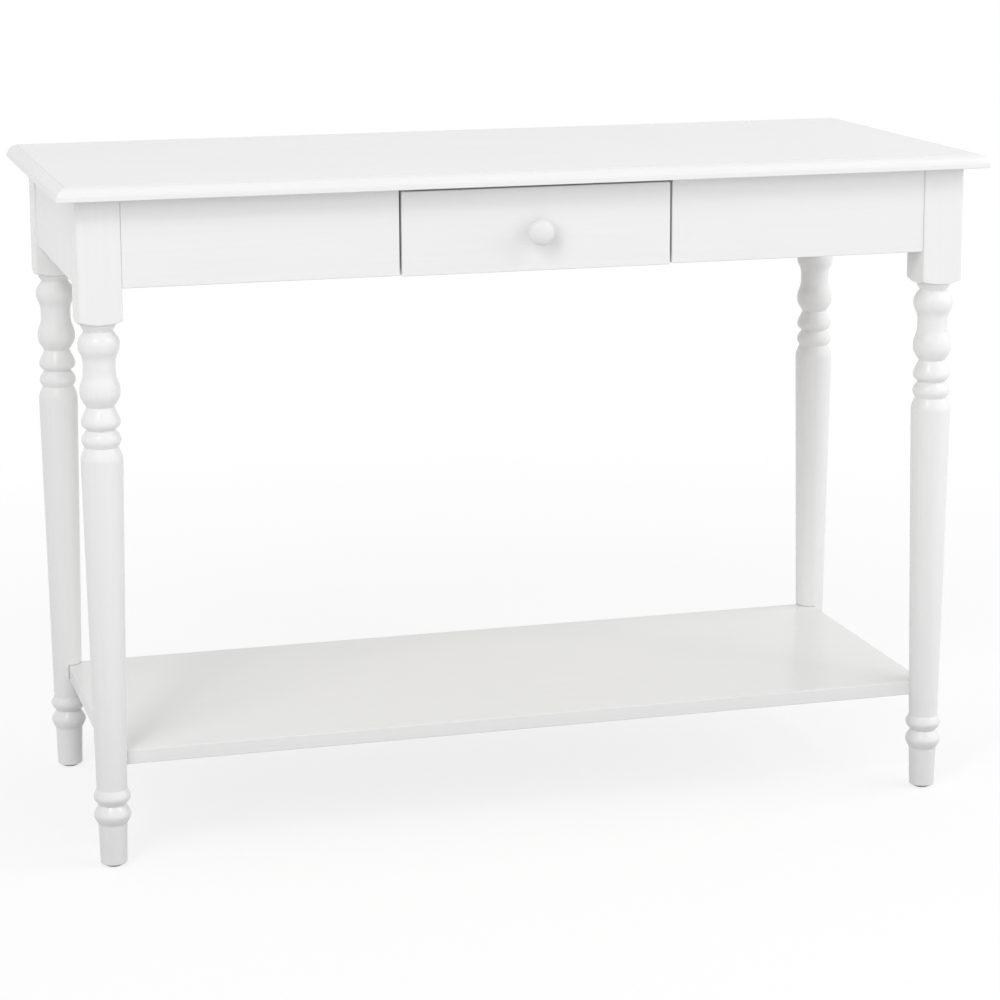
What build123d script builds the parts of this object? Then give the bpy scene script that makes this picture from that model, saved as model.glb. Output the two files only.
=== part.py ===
from build123d import *
import os
from math import sqrt

# Console table with one drawer and a lower shelf, in millimetres.
# The origin is on the floor, in the middle of the footprint. The front faces -Y, +Z is up.

# Tabletop
top_length = 1050.0
top_depth = 455.0
table_height = 752.0
top_thickness = 15.5
top_overhang = 22.5  # from the leg blocks to the edge of the top
edge_quirk = 1.0  # small upright at the head of the moulded edge
edge_round = 9.5  # radius of the moulding's round
edge_step = 1.5  # ledge between the round and the upright band below it

# Leg block
leg_width = 47.0
block_height = 135.0
block_arris = 1.5
shoulder_rise = 5.8  # how far up the lathe cuts the block's lower corners
shoulder_flank = (0.12, 0.5, 0.42)

# Turned part of the leg, from the block down: diameters, and drops from one to the next
turning_allowance = 1.4
collar_dia = 37.8
collar_drop = 2.0
neck_dia = 30.8
neck_drop = 5.5
upper_swell_dia = 45.0
upper_swell_drop = 14.0
waist_dia = 34.8
waist_drop = 21.0
waist_length = 7.0
lower_swell_dia = 43.8
lower_swell_drop = 24.0
swell_groove_dia = 29.8
swell_groove_drop = 16.0
upper_ring_dia = 42.4
upper_ring_drop = 16.0
ring_groove_dia = 30.4
ring_groove_drop = 8.8
lower_ring_dia = 42.4
lower_ring_drop = 11.2
column_groove_dia = 36.4
column_groove_drop = 7.7
column_shoulder_drop = 14.3

# Flanks between a crest and a groove, as shares of their height and width: how far a flank
# runs upright from its crest, and how wide and how high it still is when it nears its groove
swell_flank = (0.45, 0.4, 0.28)
bell_flank = (0.25, 0.3, 0.35)
undercut_flank = (0.5, 0.6, 0.3)
column_flank = (0.35, 0.35, 0.3)
bead_flank = (0.3, 0.4, 0.3)

# Turned part of the leg, from the glide up
column_bottom_dia = 33.4
upper_bead_height = 18.5
bead_groove_dia = 29.4
lower_bead_height = 22.0
bead_dia = 40.6
foot_height = 45.0
foot_top_dia = 31.6
foot_bottom_dia = 29.3
foot_chamfer = 1.5
glide_dia = 19.0
glide_height = 2.5
glide_nail_dia = 2.4
glide_nail_length = 15.0

# Aprons
apron_height = 95.5
apron_thickness = 16.0
apron_setback = 1.5  # behind the leg blocks' outer faces

# Shelf
shelf_thickness = 16.0
shelf_height = 128.5  # top face above the floor
shelf_corner_cut = 10.0  # along each edge, so that the fixing meets a square face

# Drawer opening, partitions, runners and kickers
drawer_opening = 310.0
partition_thickness = 15.0
partition_lift = 4.0  # lower edge above the aprons' lower edge
runner_width = 15.0
runner_height = 10.0
kicker_height = 12.0

# Drawer
front_gap = 2.5  # at each side of the drawer front
front_top_gap = 4.5
front_drop = 1.0  # lower edge below the aprons' lower edge
drawer_side_gap = 3.0
drawer_back_room = 45.0  # from the drawer to the back apron
board_thickness = 12.0  # drawer sides and back
panel_thickness = 4.0  # drawer bottom
panel_groove_depth = 5.0
panel_lift = 8.0  # groove above the sides' lower edges
run_gap = 0.3  # between the sides and the runners
lift_gap = 2.0  # between the sides and the kickers

# Knob
knob_dia = 29.5
knob_length = 23.5
knob_base_dia = 17.0
knob_neck_dia = 14.0
knob_neck_reach = 5.5  # narrowest place, from the drawer front
knob_rim_reach = 14.5  # widest place, from the drawer front
knob_fullness = 0.6  # how round its flanks are, as a share of each
knob_drop = 2.0  # below the middle of the drawer front
knob_screw_dia = 4.0
knob_screw_grip = 13.0  # thread inside the knob
knob_screw_head_dia = 8.5
knob_screw_head_height = 2.8

# Corner braces and their bolts
brace_sheet = 2.0
brace_height = 46.0
brace_drop = 25.0  # upper edge below the tabletop
brace_gap = 9.0  # from the leg's inner arris to the plate
flange_length = 24.0
hanger_bolt_dia = 8.0
hanger_bolt_grip = 30.0  # thread inside the leg
bolt_tail = 5.0  # thread past the nut
washer_dia = 20.0
washer_thickness = 1.6
nut_width = 13.0  # across flats
nut_height = 6.5

# Angle brackets under the top
bracket_leg = 20.0
bracket_width = 18.0
bracket_sheet = 2.0

# Dowels and wood screws
dowel_dia = 8.0
dowel_length = 30.0
dowel_edge = 20.0  # from the edges of the aprons and partitions
partition_dowel_depth = 9.0  # into the aprons' inner faces
drawer_dowel_dia = 6.0
drawer_dowel_length = 24.0
drawer_fixing_edge = 13.0  # from the drawer bottom and from the sides' upper edges
screw_dia = 3.5
screw_head_dia = 7.0
screw_head_height = 2.4
bracket_screw_length = 12.0
runner_screw_length = 22.0
runner_screw_edge = 40.0  # from the runners' ends
drawer_screw_length = 32.0

# Shelf fixings, on each corner's diagonal
cam_dia = 15.0
cam_depth = 12.0
cam_reach = 30.0  # from the corner's cut face to the middle of the cam
cam_slot_width = 1.4
cam_slot_depth = 2.0
cam_bolt_dia = 6.0
cam_bolt_grip = 17.0  # thread inside the leg
cam_bore_dia = 8.0

# Clearances
fit_gap = 0.1  # all round a fixing in its hole
seat_gap = 0.2  # beside the shelf in its legs, round the drawer bottom, at the drawer's stop
hole_spare = 1.0  # depth of a hole past its fixing

# Legs and tabletop
leg_half = leg_width / 2
leg_x = top_length / 2 - top_overhang - leg_half
leg_y = top_depth / 2 - top_overhang - leg_half
leg_in_x = leg_x - leg_half
leg_in_y = leg_y - leg_half
under_top = table_height - top_thickness
block_bottom = under_top - block_height

# Aprons, partitions and shelf
apron_bottom = under_top - apron_height
apron_out_x = leg_x + leg_half - apron_setback
apron_out_y = leg_y + leg_half - apron_setback
apron_in_x = apron_out_x - apron_thickness
apron_in_y = apron_out_y - apron_thickness
apron_mid_x = (apron_out_x + apron_in_x) / 2
apron_mid_y = (apron_out_y + apron_in_y) / 2
opening_half = drawer_opening / 2
partition_out = opening_half + partition_thickness
partition_bottom = apron_bottom + partition_lift
runner_in = opening_half - runner_width
runner_top = partition_bottom + runner_height
runner_front = seat_gap - apron_in_y
kicker_bottom = under_top - kicker_height
shelf_bottom = shelf_height - shelf_thickness
shelf_middle = (shelf_height + shelf_bottom) / 2

# Drawer
front_half = opening_half - front_gap
front_bottom = apron_bottom - front_drop
front_top = under_top - front_top_gap
side_out = opening_half - drawer_side_gap
side_in = side_out - board_thickness
side_bottom = runner_top + run_gap
side_top = kicker_bottom - lift_gap
side_front = -apron_in_y
drawer_end = apron_in_y - drawer_back_room
panel_bottom = side_bottom + panel_lift
panel_top = panel_bottom + panel_thickness
panel_half = side_in + panel_groove_depth
drawer_fixing_heights = (panel_top + drawer_fixing_edge, side_top - drawer_fixing_edge)
knob_height = (front_bottom + front_top) / 2 - knob_drop

# Braces, on the diagonal from the leg's axis towards the middle of the table
diagonal = sqrt(2)
brace_top = under_top - brace_drop
brace_bottom = brace_top - brace_height
brace_middle = (brace_top + brace_bottom) / 2
brace_start = leg_half * diagonal + brace_gap
brace_reach = (brace_start * diagonal) - 2 * (leg_x - apron_in_x)
cut_face = shelf_corner_cut / diagonal

corners = {
    "front_left": (-1, -1),
    "front_right": (1, -1),
    "back_left": (-1, 1),
    "back_right": (1, 1),
}
sides = {"left": -1, "right": 1}


def bar(x0, x1, y0, y1, z0, z1):
    """Straight-edged board between two corners."""
    return Pos(x0, y0, z0) * Box(x1 - x0, y1 - y0, z1 - z0, align=(Align.MIN, Align.MIN, Align.MIN))


def upright_box(length, depth, height):
    """Box that stands in the middle of the ground plane."""
    return Box(length, depth, height, align=(Align.CENTER, Align.CENTER, Align.MIN))


def sided_bar(side, x0, x1, y0, y1, z0, z1):
    """Board on the left or right, between two distances from the middle."""
    low, high = sorted((side * x0, side * x1))
    return bar(low, high, y0, y1, z0, z1)


def rod(start, direction, dia, length):
    """Round bar from a point, along a direction."""
    place = Plane(origin=start, z_dir=direction)
    return place * Cylinder(dia / 2, length, align=(Align.CENTER, Align.CENTER, Align.MIN))


def hole(start, direction, dia, length):
    """Drilled hole that takes a rod of this size."""
    return rod(start, direction, dia + 2 * fit_gap, length + hole_spare)


def drilled(solid, places, dia, length):
    """Solid with a hole at each place, a start point and a direction."""
    for start, direction in places:
        solid -= hole(start, direction, dia, length)
    return solid


def rods(places, dia, length):
    """One rod at each place."""
    return [rod(start, direction, dia, length) for start, direction in places]


def back_from(direction):
    """Opposite direction."""
    return tuple(-part for part in direction)


def screw(start, direction, dia, length, head_dia, head_height):
    """Screw whose head sits on the face at the start point."""
    head = rod(start, back_from(direction), head_dia, head_height)
    return head + rod(start, direction, dia, length)


def wood_screws(places, length):
    """One wood screw at each place."""
    head = (screw_head_dia, screw_head_height)
    return [screw(start, way, screw_dia, length, *head) for start, way in places]


def sunk(solid, places, length):
    """Solid drilled for wood screws whose heads lie below its face."""
    solid = drilled(solid, places, screw_dia, length)
    for start, direction in places:
        solid -= hole(start, back_from(direction), screw_head_dia, screw_head_height)
    return solid


def inward(corner):
    """Level direction from a leg towards the middle of the table."""
    return (-corner[0], -corner[1], 0)


def on_diagonal(corner, distance, height):
    """Point on a corner's diagonal, at a distance from the leg's axis towards the middle."""
    along = distance / diagonal
    return (corner[0] * (leg_x - along), corner[1] * (leg_y - along), height)


# Places of the fixings, each a start point and a direction
dowel_heights = (apron_bottom + dowel_edge, under_top - dowel_edge)
apron_dowel_places = []
for cx, cy in corners.values():
    for height in dowel_heights:
        in_long = (cx * (leg_in_x - dowel_length / 2), cy * apron_mid_y, height)
        in_short = (cx * apron_mid_x, cy * (leg_in_y - dowel_length / 2), height)
        apron_dowel_places.append((in_long, (cx, 0, 0)))
        apron_dowel_places.append((in_short, (0, cy, 0)))

partition_dowel_places = []
for cx, cy in corners.values():
    for height in (partition_bottom + dowel_edge, under_top - dowel_edge):
        start = (cx * (opening_half + partition_out) / 2, cy * (apron_in_y + partition_dowel_depth), height)
        partition_dowel_places.append((start, (0, -cy, 0)))

brace_screw_places = []
for cx, cy in corners.values():
    for height in (brace_middle - brace_height / 4, brace_middle + brace_height / 4):
        along = brace_reach + flange_length / 2
        on_long = (cx * (apron_in_x - along), cy * (apron_in_y - brace_sheet), height)
        on_short = (cx * (apron_in_x - brace_sheet), cy * (apron_in_y - along), height)
        brace_screw_places.append((on_long, (0, cy, 0)))
        brace_screw_places.append((on_short, (cx, 0, 0)))

bracket_x = (partition_out + apron_in_x - brace_reach - flange_length) / 2
bracket_seats = []
for cx, cy in corners.values():
    bracket_seats.append(((cx * bracket_x, cy * apron_in_y, under_top), (0, -cy, 0)))
for side in sides.values():
    bracket_seats.append(((side * apron_in_x, 0, under_top), (-side, 0, 0)))
bracket_planes = [Plane(origin=start, x_dir=way, z_dir=(0, 0, 1)) for start, way in bracket_seats]
bracket_hole = (bracket_leg + bracket_sheet) / 2
bracket_screw_places = []
for plane in bracket_planes:
    into_apron = plane.from_local_coords(Vector(bracket_sheet, 0, -bracket_hole))
    into_top = plane.from_local_coords(Vector(bracket_hole, 0, -bracket_sheet))
    bracket_screw_places.append((tuple(into_apron), tuple(-plane.x_dir)))
    bracket_screw_places.append((tuple(into_top), (0, 0, 1)))

runner_stations = (runner_front + runner_screw_edge, 0, apron_in_y - runner_screw_edge)
strip_heights = ((partition_bottom + runner_top) / 2, (kicker_bottom + under_top) / 2)
strip_screw_places = []
for side in sides.values():
    for station in runner_stations:
        for height in strip_heights:
            start = (side * (runner_in + screw_head_height), station, height)
            strip_screw_places.append((start, (side, 0, 0)))

drawer_dowel_places = []
drawer_screw_places = []
for side in sides.values():
    for height in drawer_fixing_heights:
        front_joint = (side * (side_out + side_in) / 2, side_front - drawer_dowel_length / 2, height)
        back_joint = (side * (side_out - screw_head_height), drawer_end - board_thickness / 2, height)
        drawer_dowel_places.append((front_joint, (0, 1, 0)))
        drawer_screw_places.append((back_joint, (-side, 0, 0)))

brace_bolt_start = leg_half * diagonal - hanger_bolt_grip
brace_face = brace_start + brace_sheet
brace_bolt_length = brace_face + washer_thickness + nut_height + bolt_tail - brace_bolt_start
cam_bolt_start = cut_face - cam_bolt_grip
cam_bolt_length = cam_bolt_grip + cam_reach
brace_bolt_places = []
cam_bolt_places = []
cam_centres = []
for corner in corners.values():
    brace_bolt_places.append((on_diagonal(corner, brace_bolt_start, brace_middle), inward(corner)))
    cam_bolt_places.append((on_diagonal(corner, cam_bolt_start, shelf_middle), inward(corner)))
    cam_centres.append(on_diagonal(corner, cut_face + cam_reach, shelf_bottom))
knob_screw_place = ((0, side_front, knob_height), (0, -1, 0))
knob_screw_length = apron_thickness + knob_screw_grip


def top_layer(inset, height):
    """Plain slab inside the tabletop's outline."""
    return upright_box(top_length - 2 * inset, top_depth - 2 * inset, height)


def make_tabletop():
    """Board with an upright band, a ledge, a round and a small upright on its edge."""
    board = top_layer(0, top_thickness - edge_quirk - edge_round)
    rounded = top_layer(edge_step, top_thickness - edge_quirk)
    rounded = fillet(rounded.edges().group_by(Axis.Z)[-1], edge_round)
    flat = top_layer(edge_step + edge_round, top_thickness)
    top = Pos(0, 0, under_top) * (board + rounded + flat)
    return drilled(top, bracket_screw_places, screw_dia, bracket_screw_length)


def between(start, end, share):
    """Value part of the way from one to the other."""
    return start + (end - start) * share


def crest(start, end):
    """Convex flank of the knob from its neck, left level, to its rim, met upright."""
    (r0, z0), (r1, z1) = start, end
    return Bezier(start, (between(r0, r1, knob_fullness), z0), (r1, between(z1, z0, knob_fullness)), end)


def fall(start, end):
    """Convex flank of the knob from its rim, left upright, to its crown, met level."""
    (r0, z0), (r1, z1) = start, end
    return Bezier(start, (r0, between(z0, z1, knob_fullness)), (between(r1, r0, knob_fullness), z1), end)


def flank(crest_point, groove, shares):
    """Flank that leaves a crest upright and straightens towards a groove."""
    (r0, z0), (r1, z1) = crest_point, groove
    upright, wide, high = shares
    near_groove = (between(r1, r0, wide), between(z1, z0, high))
    return Bezier(crest_point, (r0, between(z0, z1, upright)), near_groove, groove)


def wave(start, end):
    """Flank that runs upright at both ends."""
    (r0, z0), (r1, z1) = start, end
    middle = (z0 + z1) / 2
    return Bezier(start, (r0, middle), (r1, middle), end)


def make_turning():
    """Turned part of a leg, from the glide to just inside the block."""
    collar_top = (collar_dia / 2, block_bottom)
    collar = (collar_dia / 2, block_bottom - collar_drop)
    neck = (neck_dia / 2, collar[1] - neck_drop)
    upper_swell = (upper_swell_dia / 2, neck[1] - upper_swell_drop)
    waist_top = (waist_dia / 2, upper_swell[1] - waist_drop)
    waist_bottom = (waist_dia / 2, waist_top[1] - waist_length)
    lower_swell = (lower_swell_dia / 2, waist_bottom[1] - lower_swell_drop)
    swell_groove = (swell_groove_dia / 2, lower_swell[1] - swell_groove_drop)
    upper_ring = (upper_ring_dia / 2, swell_groove[1] - upper_ring_drop)
    ring_groove = (ring_groove_dia / 2, upper_ring[1] - ring_groove_drop)
    lower_ring = (lower_ring_dia / 2, ring_groove[1] - lower_ring_drop)
    column_groove = (column_groove_dia / 2, lower_ring[1] - column_groove_drop)
    column_top = (leg_half - turning_allowance / 2, column_groove[1] - column_shoulder_drop)
    foot_bottom = (foot_bottom_dia / 2, glide_height + foot_chamfer)
    foot_top = (foot_top_dia / 2, glide_height + foot_height)
    bead_groove = (bead_groove_dia / 2, foot_top[1] + lower_bead_height)
    column_bottom = (column_bottom_dia / 2, bead_groove[1] + upper_bead_height)
    lower_bead = (bead_dia / 2, (foot_top[1] + bead_groove[1]) / 2)
    upper_bead = (bead_dia / 2, (bead_groove[1] + column_bottom[1]) / 2)
    inside_block = (collar_dia / 2, block_bottom + shoulder_rise)
    outline = [
        Line((0, glide_height), (foot_bottom[0] - foot_chamfer, glide_height)),
        Line((foot_bottom[0] - foot_chamfer, glide_height), foot_bottom),
        Line(foot_bottom, foot_top),
        flank(lower_bead, foot_top, bead_flank),
        flank(lower_bead, bead_groove, bead_flank),
        flank(upper_bead, bead_groove, bead_flank),
        flank(upper_bead, column_bottom, bead_flank),
        Line(column_bottom, column_top),
        flank(column_top, column_groove, column_flank),
        flank(lower_ring, column_groove, column_flank),
        flank(lower_ring, ring_groove, swell_flank),
        flank(upper_ring, ring_groove, undercut_flank),
        flank(upper_ring, swell_groove, bell_flank),
        flank(lower_swell, swell_groove, swell_flank),
        wave(lower_swell, waist_bottom),
        Line(waist_bottom, waist_top),
        wave(waist_top, upper_swell),
        flank(upper_swell, neck, swell_flank),
        Line(neck, collar),
        Line(collar, collar_top),
        Line(collar_top, inside_block),
        Line(inside_block, (0, inside_block[1])),
        Line((0, inside_block[1]), (0, glide_height)),
    ]
    return revolve(Plane.XZ * make_face(outline), Axis.Z)


def make_block():
    """Square block at the head of a leg, its lower corners rounded on the lathe."""
    square = Pos(0, 0, block_bottom) * upright_box(leg_width, leg_width, block_height)
    square = fillet(square.edges().filter_by(Axis.Z), block_arris)
    reach = leg_half * diagonal
    rim = (reach, block_bottom + shoulder_rise)
    collar_top = (collar_dia / 2, block_bottom)
    outline = [
        Line((0, block_bottom), collar_top),
        flank(rim, collar_top, shoulder_flank),
        Line(rim, (reach, under_top)),
        Line((reach, under_top), (0, under_top)),
        Line((0, under_top), (0, block_bottom)),
    ]
    return square & revolve(Plane.XZ * make_face(outline), Axis.Z)


def shelf_board(grow, lift):
    """Shelf from leg axis to leg axis with cut corners, or the larger room for it in the legs."""
    x = leg_x + grow
    y = leg_y + grow
    cut = shelf_corner_cut + 2 * grow
    points = [(x - cut, -y), (x, cut - y), (x, y - cut), (x - cut, y)]
    points += [(-px, -py) for px, py in points]
    outline = make_face(Polyline(points, close=True))
    return Pos(0, 0, shelf_bottom) * extrude(outline, shelf_thickness + lift)


def make_leg(blank, corner):
    """Leg with its shelf housing and its holes."""
    leg = Pos(corner[0] * leg_x, corner[1] * leg_y, 0) * blank
    leg -= shelf_board(seat_gap, seat_gap)
    foot = ((corner[0] * leg_x, corner[1] * leg_y, glide_height), (0, 0, 1))
    leg = drilled(leg, [foot], glide_nail_dia, glide_nail_length)
    leg = drilled(leg, apron_dowel_places, dowel_dia, dowel_length)
    bolt_hole = (on_diagonal(corner, leg_half * diagonal, brace_middle), back_from(inward(corner)))
    leg = drilled(leg, [bolt_hole], hanger_bolt_dia, hanger_bolt_grip)
    cam_hole = (on_diagonal(corner, cut_face, shelf_middle), back_from(inward(corner)))
    return drilled(leg, [cam_hole], cam_bolt_dia, cam_bolt_grip)


def make_apron(board):
    """Apron board with the holes of the dowels and screws that meet it."""
    board = drilled(board, apron_dowel_places, dowel_dia, dowel_length)
    board -= [hole(start, back_from(way), dowel_dia, 0) for start, way in partition_dowel_places]
    board = drilled(board, partition_dowel_places, dowel_dia, dowel_length)
    board = drilled(board, brace_screw_places, screw_dia, bracket_screw_length)
    return drilled(board, bracket_screw_places, screw_dia, bracket_screw_length)


def make_brace(corner):
    """Bent plate across a corner, with a flange on each apron."""
    bend = brace_reach + brace_sheet * (diagonal - 1)
    end = brace_reach + flange_length
    outer = [(end, 0), (brace_reach, 0), (0, brace_reach), (0, end)]
    inner = [(brace_sheet, end), (brace_sheet, bend), (bend, brace_sheet), (end, brace_sheet)]
    points = [(corner[0] * (apron_in_x - u), corner[1] * (apron_in_y - v)) for u, v in outer + inner]
    plate = Pos(0, 0, brace_bottom) * extrude(make_face(Polyline(points, close=True)), brace_height)
    plate = drilled(plate, brace_bolt_places, hanger_bolt_dia, brace_bolt_length)
    return drilled(plate, brace_screw_places, screw_dia, bracket_screw_length)


def make_washer(corner):
    """Washer on a brace."""
    start = on_diagonal(corner, brace_face, brace_middle)
    return rod(start, inward(corner), washer_dia, washer_thickness)


def make_nut(corner):
    """Hexagon nut on a washer."""
    start = on_diagonal(corner, brace_face + washer_thickness, brace_middle)
    hexagon = RegularPolygon(nut_width / 2, 6, major_radius=False)
    return Plane(origin=start, z_dir=inward(corner)) * extrude(hexagon, nut_height)


def bored(solid):
    """Washer or nut with the hole of its bolt."""
    return drilled(solid, brace_bolt_places, hanger_bolt_dia, brace_bolt_length)


def make_bracket(plane):
    """Angle bracket in the corner between an apron and the tabletop."""
    wide = bracket_width / 2
    level = bar(0, bracket_leg, -wide, wide, -bracket_sheet, 0)
    upright = bar(0, bracket_sheet, -wide, wide, -bracket_leg, 0)
    return drilled(plane * (level + upright), bracket_screw_places, screw_dia, bracket_screw_length)


def make_partition(side):
    """Board from front to back beside the drawer."""
    board = sided_bar(side, opening_half, partition_out, -apron_in_y, apron_in_y, partition_bottom, under_top)
    board = drilled(board, partition_dowel_places, dowel_dia, dowel_length)
    return drilled(board, strip_screw_places, screw_dia, runner_screw_length)


def make_strip(side, bottom, top):
    """Runner or kicker on a partition."""
    strip = sided_bar(side, runner_in, opening_half, runner_front, apron_in_y, bottom, top)
    return sunk(strip, strip_screw_places, runner_screw_length)


def make_shelf():
    """Shelf with a cam pocket and a bolt bore at each corner."""
    shelf = shelf_board(0, 0)
    for centre in cam_centres:
        shelf -= rod(centre, (0, 0, 1), cam_dia + 2 * fit_gap, cam_depth + 2 * fit_gap)
    for start, direction in cam_bolt_places:
        shelf -= rod(start, direction, cam_bore_dia, cam_bolt_length)
    return shelf


def make_cam(centre):
    """Slotted cam flush with the underside of the shelf."""
    cam = rod(centre, (0, 0, 1), cam_dia, cam_depth)
    cam -= Pos(*centre) * upright_box(cam_dia, cam_slot_width, cam_slot_depth)
    return drilled(cam, cam_bolt_places, cam_bolt_dia, cam_bolt_length)


def make_glide(corner):
    """Round pad under a foot, with its nail."""
    base = (corner[0] * leg_x, corner[1] * leg_y, 0)
    pad = rod(base, (0, 0, 1), glide_dia, glide_height)
    return pad + rod(base, (0, 0, 1), glide_nail_dia, glide_height + glide_nail_length)


def panel_groove(wide):
    """Room for the drawer bottom, out to a distance from the middle."""
    start = side_front - panel_groove_depth
    return bar(-wide, wide, start, drawer_end, panel_bottom, panel_top + seat_gap)


def make_drawer_front():
    """Drawer front with its groove, dowel holes and knob hole."""
    front = bar(-front_half, front_half, -apron_out_y, -apron_in_y, front_bottom, front_top)
    front -= panel_groove(panel_half)
    front = drilled(front, drawer_dowel_places, drawer_dowel_dia, drawer_dowel_length)
    front -= [hole(start, back_from(way), drawer_dowel_dia, 0) for start, way in drawer_dowel_places]
    return drilled(front, [knob_screw_place], knob_screw_dia, knob_screw_length)


def make_drawer_side(side):
    """Drawer side with its groove and holes."""
    board = sided_bar(side, side_in, side_out, side_front, drawer_end, side_bottom, side_top)
    board -= panel_groove(panel_half)
    board = drilled(board, drawer_dowel_places, drawer_dowel_dia, drawer_dowel_length)
    return sunk(board, drawer_screw_places, drawer_screw_length)


def make_drawer_back():
    """Drawer back, which stands on the drawer bottom."""
    board = bar(-side_in, side_in, drawer_end - board_thickness, drawer_end, panel_top, side_top)
    return drilled(board, drawer_screw_places, screw_dia, drawer_screw_length)


def make_drawer_bottom():
    """Panel in the grooves of the front and the sides."""
    wide = panel_half - seat_gap
    start = side_front - panel_groove_depth + seat_gap
    return bar(-wide, wide, start, drawer_end, panel_bottom, panel_top)


def make_knob():
    """Turned knob with a narrow neck, a rim and a low dome."""
    base = (knob_base_dia / 2, 0)
    neck = (knob_neck_dia / 2, knob_neck_reach)
    rim = (knob_dia / 2, knob_rim_reach)
    crown = (0, knob_length)
    outline = [
        Line((0, 0), base),
        wave(base, neck),
        crest(neck, rim),
        fall(rim, crown),
        Line(crown, (0, 0)),
    ]
    turned = revolve(make_face(outline), Axis.Y)
    knob = Pos(0, -apron_out_y, knob_height) * Rot(180, 0, 0) * turned
    return drilled(knob, [knob_screw_place], knob_screw_dia, knob_screw_length)


# Assembly
parts = {"tabletop": make_tabletop(), "shelf": make_shelf()}

leg_blank = make_block() + make_turning()
for name, corner in corners.items():
    parts[f"leg_{name}"] = make_leg(leg_blank, corner)
    parts[f"corner_brace_{name}"] = make_brace(corner)

back_board = bar(-leg_in_x, leg_in_x, apron_in_y, apron_out_y, apron_bottom, under_top)
parts["back_apron"] = make_apron(back_board)
for name, side in sides.items():
    panel = sided_bar(side, opening_half, leg_in_x, -apron_out_y, -apron_in_y, apron_bottom, under_top)
    end_board = sided_bar(side, apron_in_x, apron_out_x, -leg_in_y, leg_in_y, apron_bottom, under_top)
    parts[f"front_apron_{name}"] = make_apron(panel)
    parts[f"side_apron_{name}"] = make_apron(end_board)
    parts[f"drawer_partition_{name}"] = make_partition(side)
    parts[f"drawer_runner_{name}"] = make_strip(side, partition_bottom, runner_top)
    parts[f"drawer_kicker_{name}"] = make_strip(side, kicker_bottom, under_top)
    parts[f"drawer_side_{name}"] = make_drawer_side(side)

parts["drawer_front"] = make_drawer_front()
parts["drawer_back"] = make_drawer_back()
parts["drawer_bottom"] = make_drawer_bottom()
parts["knob"] = make_knob()
parts["knob_screw"] = screw(
    *knob_screw_place, knob_screw_dia, knob_screw_length, knob_screw_head_dia, knob_screw_head_height
)

groups = {
    "apron_dowels": rods(apron_dowel_places, dowel_dia, dowel_length),
    "partition_dowels": rods(partition_dowel_places, dowel_dia, dowel_length),
    "drawer_dowels": rods(drawer_dowel_places, drawer_dowel_dia, drawer_dowel_length),
    "hanger_bolts": rods(brace_bolt_places, hanger_bolt_dia, brace_bolt_length),
    "brace_washers": [bored(make_washer(corner)) for corner in corners.values()],
    "brace_nuts": [bored(make_nut(corner)) for corner in corners.values()],
    "brace_screws": wood_screws(brace_screw_places, bracket_screw_length),
    "top_brackets": [make_bracket(plane) for plane in bracket_planes],
    "top_bracket_screws": wood_screws(bracket_screw_places, bracket_screw_length),
    "runner_screws": wood_screws(strip_screw_places, runner_screw_length),
    "drawer_screws": wood_screws(drawer_screw_places, drawer_screw_length),
    "shelf_cam_bolts": rods(cam_bolt_places, cam_bolt_dia, cam_bolt_length),
    "shelf_cams": [make_cam(centre) for centre in cam_centres],
    "foot_glides": [make_glide(corner) for corner in corners.values()],
}
for name, solids in groups.items():
    parts[name] = Compound(children=solids)

os.makedirs("parts", exist_ok=True)
for name, shape in parts.items():
    export_step(shape, f"parts/{name}.step")
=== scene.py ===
import logging
import math
from dataclasses import dataclass
from enum import Enum
from functools import lru_cache
from typing import ClassVar, Sequence

import bmesh
import bpy
import numpy as np
from mathutils import Matrix, Vector


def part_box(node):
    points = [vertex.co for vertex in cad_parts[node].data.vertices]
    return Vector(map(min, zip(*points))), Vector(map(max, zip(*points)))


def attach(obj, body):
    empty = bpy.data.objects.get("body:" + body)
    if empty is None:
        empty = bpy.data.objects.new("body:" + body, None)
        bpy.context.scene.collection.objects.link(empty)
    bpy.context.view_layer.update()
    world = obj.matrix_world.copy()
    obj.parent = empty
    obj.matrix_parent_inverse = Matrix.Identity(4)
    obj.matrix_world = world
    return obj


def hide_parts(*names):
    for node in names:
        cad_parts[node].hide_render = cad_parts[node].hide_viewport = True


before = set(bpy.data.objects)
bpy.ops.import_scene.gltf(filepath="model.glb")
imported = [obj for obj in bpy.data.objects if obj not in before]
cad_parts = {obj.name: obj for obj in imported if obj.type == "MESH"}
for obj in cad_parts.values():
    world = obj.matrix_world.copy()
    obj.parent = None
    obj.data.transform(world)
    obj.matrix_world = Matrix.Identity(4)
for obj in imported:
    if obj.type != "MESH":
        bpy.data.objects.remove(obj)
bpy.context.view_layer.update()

LOG = logging.getLogger("console_table")

Point = tuple[float, float]
Place = tuple[float, float, float]
Colour = tuple[float, float, float, float]
Flank = tuple[float, float, float]
Socket = bpy.types.NodeSocket
Inputs = dict[str | int, object]

QUARTER_TURN = 90.0
WELD = 1e-6  # points closer than this are one point
FLAT_DEGREES = 0.5  # a smaller bend is flat
SHARP_DEGREES = 40.0  # a larger bend is an arris
FIXING_SHARP_DEGREES = 32.0
EASE_STEPS = 3
EASE_PROFILE = 0.5
LONGEST_HOLE_EDGE = 0.009  # edges of a board up to this length belong to its holes
RIM_BAND = 0.0002  # depth of the rim that tells a fixing's wide end
PLACE_DIGITS = 4  # decimals that put fixings in order
MIX_FACTOR, MIX_LOW, MIX_HIGH, MIX_RESULT = 0, 6, 7, 2  # sockets of a mix of colours


class Body(Enum):
    """Bodies of the frame that a piece can ride on."""

    TABLE = "table"
    DRAWER = "drawer"


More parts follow.
